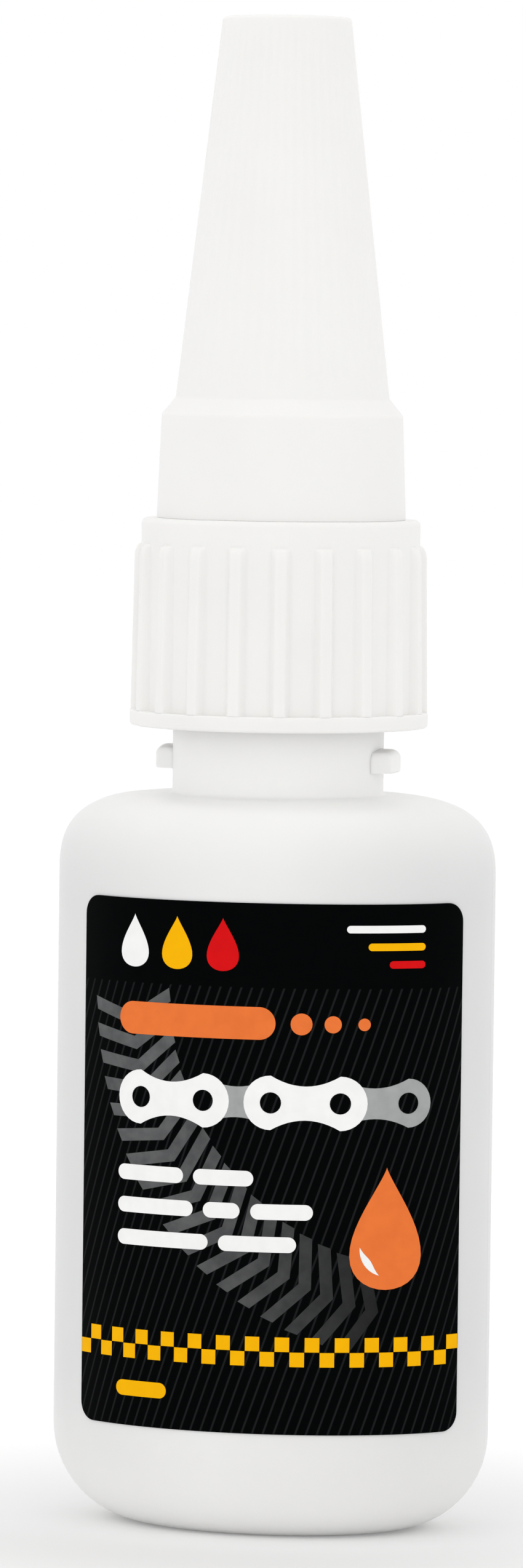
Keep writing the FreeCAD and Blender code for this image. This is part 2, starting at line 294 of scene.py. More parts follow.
def shoulder_sections(inset, throat):
    power = 2 / SHOULDER_FULLNESS
    width, depth, rise = HALF_WIDTH - inset - throat, HALF_DEPTH - inset - throat, SHOULDER_RISE - inset
    return [(throat + width * math.cos(t) ** power, throat + depth * math.cos(t) ** power,
             SHOULDER_FOOT + rise * math.sin(t) ** power) for t in quarter_turn(SHOULDER_STEPS)]


def round_section(radius, level):
    return radius, radius, level


def levels(low, high, pitch):
    count = max(1, round((high - low) / pitch))
    return [low + (high - low) * step / count for step in range(count + 1)]


print("half width and half depth, mm:", round(HALF_WIDTH, 2), round(HALF_DEPTH, 2))

# %% [markdown]
# ## From foot to mouth
# The sections run out from the middle of the hollow base to the foot ring, up the wall, over shoulder and
# neck, round the rim and down the inside to the floor. A lathe profile would do for a round bottle, but an
# oval one needs a half width and a half depth at each height. Where the neck's thread will rise, the rings
# are close together.

# %% Sections of the bottle
WALL, FLOOR, NECK_RIM = 1.0, 1.8, bottle_high.z
FOOT_RING, HOLLOW_SLOPE, HOLLOW_RISE, HOLLOW_SHARES = 1.4, 1.0, 0.8, (0, 0.3, 0.6, 0.85, 1)
SHOULDER_TOP = SHOULDER_FOOT + SHOULDER_RISE
NECK_RADIUS, MOUTH_RADIUS, NECK_LAND, RIM_ROUND = 7.85, 6.3, 0.3, 0.3
THREAD_FOOT, THREAD_HEAD, THREAD_GRID = 62.4, 71.6, 0.12
WALL_PITCH, NECK_PITCH, EDGE_STEPS = 2.5, 1.0, 5

foot_width = HALF_WIDTH - BASE_ROUND - FOOT_RING
foot_depth = HALF_DEPTH - BASE_ROUND * FRONT_SHARE - FOOT_RING
foot = (foot_width, foot_depth, 0.0)
hollow = [(share * (foot_width - HOLLOW_SLOPE), share * (foot_depth - HOLLOW_SLOPE), HOLLOW_RISE)
          for share in HOLLOW_SHARES]
walls = [(HALF_WIDTH, HALF_DEPTH, level) for level in levels(BASE_ROUND, SHOULDER_FOOT, WALL_PITCH)[1:-1]]
plain_levels = levels(SHOULDER_TOP + NECK_LAND, THREAD_FOOT, NECK_PITCH)
thread_levels = levels(THREAD_FOOT, THREAD_HEAD, THREAD_GRID)[1:]
edge = quarter_turn(EDGE_STEPS)
neck = [round_section(NECK_RADIUS + NECK_LAND * (1 - math.sin(t)),
                      SHOULDER_TOP + NECK_LAND * (1 - math.cos(t))) for t in edge[1:-1]]
neck += [round_section(NECK_RADIUS, level) for level in plain_levels + thread_levels + [NECK_RIM - RIM_ROUND]]
rim = [round_section(NECK_RADIUS - RIM_ROUND * (1 - math.cos(t)), NECK_RIM - RIM_ROUND * (1 - math.sin(t)))
       for t in edge[1:]]
mouth = [round_section(MOUTH_RADIUS + RIM_ROUND * (1 - math.sin(t)), NECK_RIM - RIM_ROUND * (1 - math.cos(t)))
         for t in edge]
inside = shoulder_sections(WALL, MOUTH_RADIUS)[::-1] + base_sections(WALL, FLOOR)[::-1]
outside = base_sections(0, 0) + walls + shoulder_sections(0, NECK_RADIUS + NECK_LAND)
print("sections outside:", len(outside), "neck:", len(neck), "inside:", len(inside))

# %% [markdown]
# ## The mould's marks
# Where the mould's halves meet, the real bottle has a fine raised line over its shoulder and sides, and
# a short pinched ridge in the hollow under its base. They could be bump in the finish, but a mesh shows
# them in every light. The rings get extra points beside the line, and the line is a narrow bell that
# lifts them along the outline's own direction outwards.

# %% Bottle body
AROUND = 192
SEAM_HALF_WIDTH, SEAM_DEGREES = 0.16, (0.25, 0.5, 0.8, 1.2)
PINCH_HEIGHT, PINCH_HALF_WIDTH = 0.35, 0.3
ANGLE_DIGITS = 6

beside_seam = [math.radians(middle + side * turn)
               for middle in (0, 180) for side in (-1, 1) for turn in SEAM_DEGREES]
even_angles = [math.tau * k / AROUND for k in range(AROUND)]
bottle_angles = sorted({round(angle % math.tau, ANGLE_DIGITS) for angle in even_angles + beside_seam})


def bell(distance, half_width):
    return math.exp(-(distance / half_width) ** 2)


def seamed(sections):
    """Rings of the outer wall, raised along the parting line."""
    rings = []
    for index, (half_width, half_depth, level) in enumerate(sections):
        before, after = sections[max(index - 1, 0)], sections[min(index + 1, len(sections) - 1)]
        out = Vector((after[2] - before[2], 0, before[0] - after[0])).normalized()
        ring = []
        for x, y, z in oval(half_width, half_depth, level, bottle_angles):
            lift = SEAM_HEIGHT * bell(y, SEAM_HALF_WIDTH) * min(1.0, level / BASE_ROUND)
            ring.append((x + math.copysign(out.x * lift, x), y, z + out.z * lift))
        rings.append(ring)
    return rings


pinched = [[(x, y, z - PINCH_HEIGHT * bell(y, PINCH_HALF_WIDTH))
            for x, y, z in oval(*section, bottle_angles)] for section in hollow]
round_rings = [oval(*section, bottle_angles) for section in neck + rim + mouth + inside]
foot_rings = pinched + [oval(*foot, bottle_angles)]
body_skin = skin(foot_rings + seamed(outside) + round_rings + [[(0.0, 0.0, FLOOR)]])
print("body points:", len(body_skin[0]))

# %% [markdown]
# ## Neck lugs
# Two small ears stand out of the neck on the parting line, and keep the nozzle's collar from being
# turned too far. Each is a block bent round the neck, flat below and rounded above. A profile in
# radius and height is drawn once and repeated along the ear's width. Towards both ends it gets a little
# lower and is drawn in, softly, until it has sunk into the neck, as a mould needs it.

# %% Neck lugs
LUG_RISE, LUG_HEIGHT, LUG_REACH, LUG_ROOT = 1.78, 1.75, 1.3, 0.75
LUG_HALF_WIDTH, LUG_ROUND, LUG_EDGE, LUG_TAPER, LUG_SUNK, LUG_CROWN = 2.1, 0.6, 0.12, 0.7, 0.05, 0.2
LUG_FOOT = SHOULDER_TOP + LUG_RISE
TAPER_STEPS, LUG_ROUND_STEPS = 7, 6


def lug(turn):
    tip, top = NECK_RADIUS + LUG_REACH, LUG_FOOT + LUG_HEIGHT
    root = NECK_RADIUS - LUG_ROOT
    outline = [(root, LUG_FOOT), (tip - LUG_EDGE, LUG_FOOT), (tip, LUG_FOOT + LUG_EDGE)]
    outline += [(tip - LUG_ROUND * (1 - math.cos(t)), top - LUG_ROUND * (1 - math.sin(t)))
                for t in quarter_turn(LUG_ROUND_STEPS)]
    outline += [(root, top)]
    rings = []
    for y in levels(-LUG_HALF_WIDTH, LUG_HALF_WIDTH, LUG_TAPER / TAPER_STEPS):
        share = min(1.0, (LUG_HALF_WIDTH - abs(y)) / LUG_TAPER)
        drawn = (LUG_REACH + LUG_SUNK) * (1 - share * share * (3 - 2 * share))
        crown = 1 - LUG_CROWN * (y / LUG_HALF_WIDTH) ** 2
        ring = []
        for radius, level in outline:
            reach = max(radius - drawn, root) if radius > root else root
            x = math.sqrt(reach ** 2 - y ** 2)
            ring.append((turn * x, turn * y, LUG_FOOT + (level - LUG_FOOT) * crown))
        rings.append(ring)
    points, faces = skin(rings)
    last = len(points) - len(outline)
    caps = [list(range(len(outline)))[::-1], [last + spot for spot in range(len(outline))]]
    return points, [face[::-1] for face in faces + caps]


bottle_parts = join_parts(body_skin, lug(1), lug(-1))
bottle = make_piece("bottle_wall", *bottle_parts, bottle_finish)
print("bottle faces:", len(bottle.data.polygons))

# %% [markdown]
# ## Trees that raise a wall
# Threads, ribs and flutes all lift points of a round wall away from its axis. Their trees share four
# things: a start with named inputs, each point's place as a turn and a height, the push outwards, and an
# end that makes everything real mesh and gives it its finish. Helpers for these keep each tree short.

# %% Helpers for trees that raise a wall
def start_tree(name, inputs):
    tree = bpy.data.node_groups.new(name, "GeometryNodeTree")
    tree.is_modifier = True
    tree.interface.new_socket("Geometry", in_out="INPUT", socket_type="NodeSocketGeometry")
    tree.interface.new_socket("Geometry", in_out="OUTPUT", socket_type="NodeSocketGeometry")
    for title, kind in inputs.items():
        tree.interface.new_socket(title, in_out="INPUT", socket_type="NodeSocket" + kind)
    return tree, tree.nodes.new("NodeGroupInput").outputs


def end_tree(tree, geometry, finish):
    real = add_node(tree, "GeometryNodeRealizeInstances", {"Geometry": geometry}).outputs[0]
    coated = add_node(tree, "GeometryNodeSetMaterial", {"Geometry": real, "Material": finish}).outputs[0]
    add_node(tree, "NodeGroupOutput", {"Geometry": coated})


def round_place(tree):
    """Turns from +X, height, and the unit vector away from the axis, for each point."""
    place = add_node(tree, "GeometryNodeInputPosition").outputs[0]
    x, y, z = add_node(tree, "ShaderNodeSeparateXYZ", {0: place}).outputs
    turn = maths(tree, "DIVIDE", maths(tree, "ARCTAN2", y, x), math.tau)
    flat = add_node(tree, "ShaderNodeCombineXYZ", {"X": x, "Y": y}).outputs[0]
    return turn, z, vectors(tree, "NORMALIZE", flat)


def push_out(tree, geometry, away, lift):
    step = vectors(tree, "MULTIPLY", away, lift)
    return add_node(tree, "GeometryNodeSetPosition", {"Geometry": geometry, "Offset": step}).outputs[0]


def stored(tree, name):
    return add_node(tree, "GeometryNodeInputNamedAttribute", {"Name": name}, data_type="FLOAT").outputs[0]


print("tree helpers ready")

# %% [markdown]
# ## Screw threads
# The collar screws on the neck and the cap on the spout's base. Both threads follow the same rule: a
# ridge that climbs by its lead with every turn and runs out softly at both ends. It could be a swept
# tube pushed into the wall, but that leaves two meshes in one place. Geometry Nodes can lift the wall's
# own points instead: each point's angle and height say how far it is from the nearest turn. A point
# attribute, set in the mesh, says which wall may rise.

# %% Geometry Nodes: a thread raised out of a wall
def thread_tree():
    numbers = ("Start", "Lead", "Turns", "Height", "Foot", "Crest", "Run Out")
    tree, given = start_tree("raise_thread", {**dict.fromkeys(numbers, "Float"), "Finish": "Material"})
    turn, level, away = round_place(tree)
    climbed = maths(tree, "DIVIDE", maths(tree, "SUBTRACT", level, given["Start"]), given["Lead"])
    along = maths(tree, "ADD", turn, maths(tree, "ROUND", maths(tree, "SUBTRACT", climbed, turn)))
    off = maths(tree, "MULTIPLY", maths(tree, "SUBTRACT", climbed, along), given["Lead"])
    beside = maths(tree, "ABSOLUTE", off)
    half_foot, half_crest = (maths(tree, "MULTIPLY", given[width], 0.5) for width in ("Foot", "Crest"))
    ridge = soft_step(tree, beside, half_foot, half_crest)
    entry = soft_step(tree, along, 0.0, given["Run Out"])
    near_end = maths(tree, "SUBTRACT", given["Turns"], given["Run Out"])
    leaving = soft_step(tree, along, given["Turns"], near_end)
    shape = maths(tree, "MULTIPLY", ridge, maths(tree, "MULTIPLY", entry, leaving))
    raised = maths(tree, "MULTIPLY", shape, given["Height"])
    lift = maths(tree, "MULTIPLY", raised, stored(tree, "may_rise"))
    end_tree(tree, push_out(tree, given["Geometry"], away, lift), given["Finish"])
    return tree


raise_thread = thread_tree()
print("tree:", raise_thread.name, len(raise_thread.nodes), "nodes")

# %% [markdown]
# ## From a tree to a mesh
# A tree works on a piece as a modifier. The real piece is one lump of plastic, so its mesh should be one
# plain mesh too: the modifier runs once, its result is kept and the modifier is taken away. Before that,
# a rule can mark each point with a number that the tree reads.

# %% Helpers to run a tree and keep its mesh
CLOSE = 0.01


def mark(piece, name, rule):
    """Store a number on each point, from its radius and height in millimetres."""
    layer = piece.data.attributes.new(name, "FLOAT", "POINT")
    for vertex, item in zip(piece.data.vertices, layer.data):
        x, y, z = vertex.co / MM
        item.value = rule(math.hypot(x, y), z)


def wall_rule(wall_radius, foot):
    """A rule that is 1 on a round wall above its foot, and 0 elsewhere."""
    return lambda radius, level: float(abs(radius - wall_radius) < CLOSE and level > foot)


def run_tree(piece, tree, choices):
    modifier = piece.modifiers.new(tree.name, "NODES")
    modifier.node_group = tree
    for item in tree.interface.items_tree:
        if item.in_out == "INPUT" and item.name in choices:
            modifier[item.identifier] = choices[item.name]
    grown = piece.evaluated_get(bpy.context.evaluated_depsgraph_get())
    mesh = bpy.data.meshes.new_from_object(grown)
    piece.modifiers.clear()
    plain = piece.data
    piece.data = mesh
    bpy.data.meshes.remove(plain)
    mesh.name = piece.name


print("ready to grow meshes")

# %% [markdown]
# ## The neck's thread
# Two turns of a rounded ridge hold the nozzle's collar. Only the neck above the lugs may rise, so that
# the ridge can't lift the lugs or the shoulder.

# %% Thread on the bottle's neck
NECK_THREAD = {"Start": 63.6 * MM, "Lead": 3.1 * MM, "Turns": 2.0, "Height": 0.85 * MM, "Foot": 1.7 * MM,
               "Crest": 0.7 * MM, "Run Out": 0.12, "Finish": bottle_finish}

mark(bottle, "may_rise", wall_rule(NECK_RADIUS, LUG_FOOT + LUG_HEIGHT))
run_tree(bottle, raise_thread, NECK_THREAD)
smooth(bottle)
neck_reach = max(math.hypot(v.co.x, v.co.y) for v in bottle.data.vertices if v.co.z > THREAD_FOOT * MM)
print("thread reaches radius, mm:", round(neck_reach / MM, 2))

# %% [markdown]
# ## Turned pieces
# Nozzle and cap are injection-moulded round one axis. Their sections are corner lists in radius and
# height, each corner with its own rounding, and a helper turns every rounded corner into a small arc.
# A closed section that doesn't touch the axis makes a ring; one that starts and ends on the axis makes
# a closed body.

# %% Helpers for turned pieces
ARC_STEPS = 4


def rounded(corners):
    """Points of an outline of (radius, height, rounding) corners."""
    spots = []
    for index, (across, up, rounding) in enumerate(corners):
        here = Vector((across, up))
        if rounding == 0:
            spots.append(here)
            continue
        back = (Vector(corners[index - 1][:2]) - here).normalized()
        ahead = (Vector(corners[(index + 1) % len(corners)][:2]) - here).normalized()
        half = back.angle(ahead) / 2
        run = rounding / math.tan(half)
        centre = here + (back + ahead).normalized() * rounding / math.sin(half)
        start, end = here + back * run - centre, here + ahead * run - centre
        sweep = start.angle_signed(end)
        for step in range(ARC_STEPS + 1):
            turn = -sweep * step / ARC_STEPS
            spots.append(centre + Matrix.Rotation(turn, 2) @ start)
    return spots


def filled(spots, pitch, low, high):
    """Extra points on straight runs between two heights, about pitch apart."""
    dense = []
    for here, there in zip(spots, spots[1:] + spots[:1]):
        dense.append(here)
        if min(here.y, there.y) >= low - CLOSE and max(here.y, there.y) <= high + CLOSE:
            count = max(1, round((there - here).length / pitch))
            dense += [here.lerp(there, step / count) for step in range(1, count)]
    return dense


print("turning ready")

# %% [markdown]
# ## Grip ribs
# Twenty ribs round the collar give a grip, and the cap has many faint flutes from its mould. Both are
# the same rule: a pitch round the axis, a flank between foot and crest, and a height that each point
# carries as an attribute. One Geometry Nodes tree lifts the wall for both, so ribs and wall stay one
# closed skin.

# %% Geometry Nodes: ribs raised out of a round wall
def rib_tree():
    tree, given = start_tree("raise_ribs", {"Count": "Int", "Foot Share": "Float", "Crest Share": "Float",
                                            "Turn": "Float", "Finish": "Material"})
    turn, _, away = round_place(tree)
    shifted = maths(tree, "SUBTRACT", turn, given["Turn"])
    pitches = maths(tree, "ADD", maths(tree, "MULTIPLY", shifted, given["Count"]), 0.5)
    beside = maths(tree, "ABSOLUTE", maths(tree, "SUBTRACT", maths(tree, "FRACT", pitches), 0.5))
    half_foot = maths(tree, "MULTIPLY", given["Foot Share"], 0.5)
    half_crest = maths(tree, "MULTIPLY", given["Crest Share"], 0.5)
    shape = soft_step(tree, beside, half_foot, half_crest)
    lift = maths(tree, "MULTIPLY", shape, stored(tree, "rib_height"))
    end_tree(tree, push_out(tree, given["Geometry"], away, lift), given["Finish"])
    return tree


raise_ribs = rib_tree()
print("tree:", raise_ribs.name, len(raise_ribs.nodes), "nodes")

# %% [markdown]
# ## The nozzle
# One moulding: a collar with its ribs and a plain band above them, a plate, a tube that seals in the
# neck, a screw base and a long thin spout. Points round the axis are set closer at the ribs' flanks,
# so that the flanks are crisp and the flats cost little.

# %% Nozzle section
COLLAR_FOOT, DECK, TIP = nozzle_low.z, cap_low.z, nozzle_high.z
RING_RADIUS, RING_HEIGHT, COLLAR_RADIUS, COLLAR_BORE = nozzle_high.x, 1.15, 10.35, 9.1
BAND_HEIGHT, SCREW_RADIUS, SCREW_HEIGHT, SCREW_EDGE = 1.9, 6.9, 6.0, 0.2
SPOUT_RADIUS, SPOUT_LEDGE, CHANNEL_RADIUS, TIP_RADIUS = 5.9, 1.0, 5.1, 1.9
HOLE_RADIUS, HOLE_LENGTH = 0.8, 2.5
PLUG_RADIUS, PLUG_LENGTH, PLUG_LEAD, PLUG_LEAD_HEIGHT, TUBE_RADIUS = 6.0, 5.0, 0.35, 0.7, 5.1
RIB_NOSE, RIB_FOOT_HEIGHT, RIB_TOP_HEIGHT = 1.1, 0.68, 0.5
COLLAR_GRID, NOSE_GRID, SCREW_GRID = 1.2, 0.11, 0.12

RING_TOP, RIB_TOP, SCREW_TOP = COLLAR_FOOT + RING_HEIGHT, DECK - BAND_HEIGHT, DECK + SCREW_HEIGHT
NOSE_FOOT, PLUG_END = RIB_TOP - RIB_NOSE, NECK_RIM - PLUG_LENGTH
# Each corner is a radius, a height and a rounding.
nozzle_corners = [
    (COLLAR_BORE, COLLAR_FOOT, 0.15), (RING_RADIUS, COLLAR_FOOT, 0.25), (RING_RADIUS, RING_TOP, 0.1),
    (COLLAR_RADIUS, RING_TOP, 0), (COLLAR_RADIUS, NOSE_FOOT, 0), (COLLAR_RADIUS, RIB_TOP, 0),
    (COLLAR_RADIUS, DECK, 0.4), (SCREW_RADIUS, DECK, SCREW_EDGE), (SCREW_RADIUS, SCREW_TOP, SCREW_EDGE),
    (SPOUT_RADIUS, SCREW_TOP + SPOUT_LEDGE, 0.4), (TIP_RADIUS, TIP, 0.5), (HOLE_RADIUS, TIP, 0.2),
    (HOLE_RADIUS, TIP - HOLE_LENGTH, 0), (CHANNEL_RADIUS, SCREW_TOP, 0.4), (CHANNEL_RADIUS, DECK, 0),
    (TUBE_RADIUS, PLUG_END, 0.1), (PLUG_RADIUS - PLUG_LEAD, PLUG_END, 0.15),
    (PLUG_RADIUS, PLUG_END + PLUG_LEAD_HEIGHT, 0.2), (PLUG_RADIUS, NECK_RIM, 0.2),
    (COLLAR_BORE, NECK_RIM, 0.3),
]
nozzle_outline = filled(rounded(nozzle_corners), COLLAR_GRID, RING_TOP, NOSE_FOOT)
nozzle_outline = filled(nozzle_outline, NOSE_GRID, NOSE_FOOT, RIB_TOP)
nozzle_outline = filled(nozzle_outline, SCREW_GRID, DECK + SCREW_EDGE, SCREW_TOP - SCREW_EDGE)
print("nozzle outline points:", len(nozzle_outline))

# %% [markdown]
# ## Ribs and thread on the nozzle
# Seen from the side, a rib is highest at its foot and ends in a round nose under the plain band. That
# height is worked out for each point of the collar's wall. The section is turned round the axis, and the
# two trees then raise the ribs and the thread of the spout's base.

# %% Nozzle mesh with ribs and thread
RIB_COUNT, RIB_TURN = 20, 15 / 360
RIBS = {"Count": RIB_COUNT, "Foot Share": 0.50, "Crest Share": 0.18, "Turn": RIB_TURN,
        "Finish": nozzle_finish}
RIB_SHARES = (0, 0.05, 0.09, 0.11, 0.125, 0.14, 0.155, 0.17, 0.185, 0.2, 0.215, 0.23, 0.25, 0.32, 0.41, 0.5)
SPOUT_THREAD = {"Start": 76.6 * MM, "Lead": 2.4 * MM, "Turns": 1.5, "Height": 0.62 * MM, "Foot": 1.3 * MM,
                "Crest": 0.5 * MM, "Run Out": 0.12, "Finish": nozzle_finish}

shares = sorted({side * share for share in RIB_SHARES for side in (-1, 1)} - {-RIB_SHARES[-1]})
nozzle_angles = [math.tau * ((rib + share) / RIB_COUNT + RIB_TURN)
                 for rib in range(RIB_COUNT) for share in shares]


def rib_height(radius, level):
    if abs(radius - COLLAR_RADIUS) > CLOSE or not RING_TOP - CLOSE <= level <= RIB_TOP:
        return 0.0
    climb = (level - RING_TOP) / (NOSE_FOOT - RING_TOP)
    nose = max(0.0, level - NOSE_FOOT) / RIB_NOSE
    height = RIB_FOOT_HEIGHT + (RIB_TOP_HEIGHT - RIB_FOOT_HEIGHT) * min(climb, 1.0)
    return height * math.sqrt(max(0.0, 1 - nose ** 2)) * MM


nozzle_rings = [oval(spot.x, spot.x, spot.y, nozzle_angles) for spot in nozzle_outline]
nozzle = make_piece("dropper_nozzle", *skin(nozzle_rings, closed=True), nozzle_finish)
mark(nozzle, "rib_height", rib_height)
mark(nozzle, "may_rise", wall_rule(SCREW_RADIUS, DECK))
run_tree(nozzle, raise_ribs, RIBS)
run_tree(nozzle, raise_thread, SPOUT_THREAD)
smooth(nozzle)
print("nozzle faces:", len(nozzle.data.polygons))

# %% [markdown]
# ## The cap
# A tall closed cone on a short skirt, with a pin under its roof that plugs the spout's hole. It is one
# turned body from the pin's end round to the middle of the top. It could be a cone with a second one cut
# out of it, but one section gives both walls, the pin and every rounding at once.

# %% Cap section
SKIRT_HEIGHT, STEP_HEIGHT, STEP_INSIDE, CAP_TOP = 7.7, 1.25, 0.4, cap_high.z
SKIRT_FOOT_RADIUS, SKIRT_TOP_RADIUS, CONE_RADIUS, TOP_RADIUS = cap_high.x, 8.95, 7.93, 4.75
CAP_BORE, CAP_WALL, CAP_ROOF, PIN_RADIUS, PIN_DIP = 7.9, 1.05, 1.2, 0.5, 1.2
SKIRT_GRID, CONE_GRID, EDGE_MARGIN = 1.0, 1.5, 0.1

SKIRT_TOP, ROOF, PIN_END = DECK + SKIRT_HEIGHT, CAP_TOP - CAP_ROOF, TIP - PIN_DIP
CONE_FOOT = SKIRT_TOP + STEP_HEIGHT
cap_corners = [
    (0, PIN_END, 0), (PIN_RADIUS, PIN_END, 0.2), (PIN_RADIUS, ROOF, 0.2), (TOP_RADIUS - CAP_WALL, ROOF, 0.4),
    (CONE_RADIUS - CAP_WALL, CONE_FOOT - STEP_INSIDE, 0.4), (CAP_BORE, SKIRT_TOP - STEP_INSIDE, 0.3),
    (CAP_BORE, DECK, 0.2), (SKIRT_FOOT_RADIUS, DECK, 0.06), (SKIRT_TOP_RADIUS, SKIRT_TOP, 0.5),
    (CONE_RADIUS, CONE_FOOT, 0.5), (TOP_RADIUS, CAP_TOP, 0.35), (0, CAP_TOP, 0),
]
cap_outline = filled(rounded(cap_corners), SKIRT_GRID, DECK + EDGE_MARGIN, SKIRT_TOP - EDGE_MARGIN)
cap_outline = filled(cap_outline, CONE_GRID, CONE_FOOT, CAP_TOP - EDGE_MARGIN)
print("cap outline points:", len(cap_outline))

# %% [markdown]
# ## Flutes on the cap
# The faint flutes of the mould run along the skirt and the cone, clear of their edges. The tree of the
# collar's ribs makes them too, with a negative height, so that they are cut in and the cap grows no wider.

# %% Cap mesh with flutes
FLUTE_COUNT, FLUTE_STEPS, FLUTE_HEIGHT, FLUTE_MARGIN = 48, 8, 0.03, 0.4
FLUTES = {"Count": FLUTE_COUNT, "Foot Share": 0.9, "Crest Share": 0.1, "Turn": 0.0, "Finish": cap_finish}


def on_slope(radius, level, foot, top):
    """Whether a point lies on the slope between two (radius, height) ends, clear of both."""
    share = (level - foot[1]) / (top[1] - foot[1])
    sloped = foot[0] + (top[0] - foot[0]) * share
    return foot[1] + FLUTE_MARGIN < level < top[1] - FLUTE_MARGIN and abs(radius - sloped) < CLOSE


def flute_height(radius, level):
    on_skirt = on_slope(radius, level, (SKIRT_FOOT_RADIUS, DECK), (SKIRT_TOP_RADIUS, SKIRT_TOP))
    on_cone = on_slope(radius, level, (CONE_RADIUS, CONE_FOOT), (TOP_RADIUS, CAP_TOP))
    return -FLUTE_HEIGHT * MM if on_skirt or on_cone else 0.0


cap_angles = [math.tau * k / (FLUTE_COUNT * FLUTE_STEPS) for k in range(FLUTE_COUNT * FLUTE_STEPS)]
cap_rings = [oval(spot.x, spot.x, spot.y, cap_angles) for spot in cap_outline]
cap = make_piece("tall_cap", *skin(cap_rings), cap_finish)
mark(cap, "rib_height", flute_height)
run_tree(cap, raise_ribs, FLUTES)
smooth(cap)
print("cap faces:", len(cap.data.polygons))

# %% [markdown]
# ## The label film
# The label is one film wound on the front wall. Its print is drawn flat, in millimetres along the wall
# and up, and then wound on, as in a print shop. Geometry Nodes do the winding: the wall's oval is a
# curve, and sampling that curve by length gives each flat point its place, so nothing is stretched. The
# same tree first repeats a motif along a line. The flat place stays on the points as an attribute, for
# patterns in the finish.

# %% Geometry Nodes: a row of flat motifs
def motif_row(tree, given):
    """The motif repeated along a line, each copy turned a little farther, with its flat place stored."""
    line = add_node(tree, "GeometryNodeMeshLine", {
        "Count": given["Count"], "Start Location": given["Start"], "Offset": given["Step"]}).outputs[0]
    turned = maths(tree, "MULTIPLY", add_node(tree, "GeometryNodeInputIndex").outputs[0], given["Turn"])
    angles = add_node(tree, "ShaderNodeCombineXYZ", {"Z": turned}).outputs[0]
    heading = add_node(tree, "FunctionNodeEulerToRotation", {0: angles}).outputs[0]
    row = add_node(tree, "GeometryNodeInstanceOnPoints", {
        "Points": line, "Instance": given["Geometry"], "Rotation": heading}).outputs[0]
    flat = add_node(tree, "GeometryNodeRealizeInstances", {"Geometry": row}).outputs[0]
    place = add_node(tree, "GeometryNodeInputPosition").outputs[0]
    stored_row = add_node(tree, "GeometryNodeStoreNamedAttribute", {
        "Geometry": flat, "Name": "flat_place", "Value": place}, data_type="FLOAT_VECTOR").outputs[0]
    return stored_row, add_node(tree, "ShaderNodeSeparateXYZ", {0: place}).outputs


print("rows ready")

# %% [markdown]
# ## Places along the wall
# On an oval, equal steps of angle are not equal steps along the wall. A curve of the oval, sampled by
# length, gives the place at a true length from the front's middle. The oval's own slope there gives the
# way outwards, in which each ink is lifted.

# %% Geometry Nodes: places along the oval wall
WALL_STEPS, FRONT_OF_GIRTH = 1024, 0.75


def wall_place(tree, size, along):
    """The place on the oval wall at a length along it from the front's middle, and the way outwards."""
    circle = add_node(tree, "GeometryNodeCurvePrimitiveCircle", {
        "Resolution": WALL_STEPS, "Radius": 1.0}).outputs[0]
    spot = add_node(tree, "GeometryNodeInputPosition").outputs[0]
    sized = vectors(tree, "MULTIPLY", spot, size)
    wall = add_node(tree, "GeometryNodeSetPosition", {"Geometry": circle, "Position": sized}).outputs[0]
    girth = add_node(tree, "GeometryNodeCurveLength", {"Curve": wall}).outputs[0]
    length = maths(tree, "ADD", maths(tree, "MULTIPLY", girth, FRONT_OF_GIRTH), along)
    sample = add_node(tree, "GeometryNodeSampleCurve", {"Curves": wall, "Length": length}, mode="LENGTH")
    place = sample.outputs["Position"]
    slope = vectors(tree, "DIVIDE", place, vectors(tree, "MULTIPLY", size, size))
    return place, vectors(tree, "NORMALIZE", slope)


print("wall places ready")

# %% [markdown]
# ## Winding
# The tree puts both together: it makes a row of motifs, moves each point to its place on the wall, and
# lifts it outwards by its height over the wall. Film and inks all use this one tree with other inputs.

# %% Geometry Nodes: wind a row on the wall
def winding_tree():
    tree, given = start_tree("wind_on_wall", {
        "Count": "Int", "Start": "Vector", "Step": "Vector", "Turn": "Float",
        "Half Width": "Float", "Half Depth": "Float", "Finish": "Material"})
    row, (along, up, lift) = motif_row(tree, given)
    half_sizes = {"X": given["Half Width"], "Y": given["Half Depth"]}
    size = add_node(tree, "ShaderNodeCombineXYZ", half_sizes).outputs[0]
    place, away = wall_place(tree, size, along)
    level = add_node(tree, "ShaderNodeCombineXYZ", {"Z": up}).outputs[0]
    on_wall = vectors(tree, "ADD", place, vectors(tree, "MULTIPLY", away, lift))
    target = vectors(tree, "ADD", on_wall, level)
    wound = add_node(tree, "GeometryNodeSetPosition", {"Geometry": row, "Position": target}).outputs[0]
    end_tree(tree, wound, given["Finish"])
    return tree


wind_on_wall = winding_tree()
print("tree:", wind_on_wall.name, len(wind_on_wall.nodes), "nodes")

# %% [markdown]
# ## Flat artwork
# Each ink is a thin closed sheet, so that the print has real edges and no flicker. A sheet is an outline
# given a bottom, a top and sides, then cut into narrow columns so that it can bend round the wall.

# %% Helpers for flat artwork
COLUMN, CUT_TOLERANCE = 0.4, 1e-8


def sheet_of(outlines, low, thickness):
    parts = []
    for outline in outlines:
        count = len(outline)
        points = [(s, h, low) for s, h in outline] + [(s, h, low + thickness) for s, h in outline]
        sides = [[k, (k + 1) % count, count + (k + 1) % count, count + k] for k in range(count)]
        parts.append((points, [list(range(count))[::-1], list(range(count, 2 * count))] + sides))
    return join_parts(*parts)


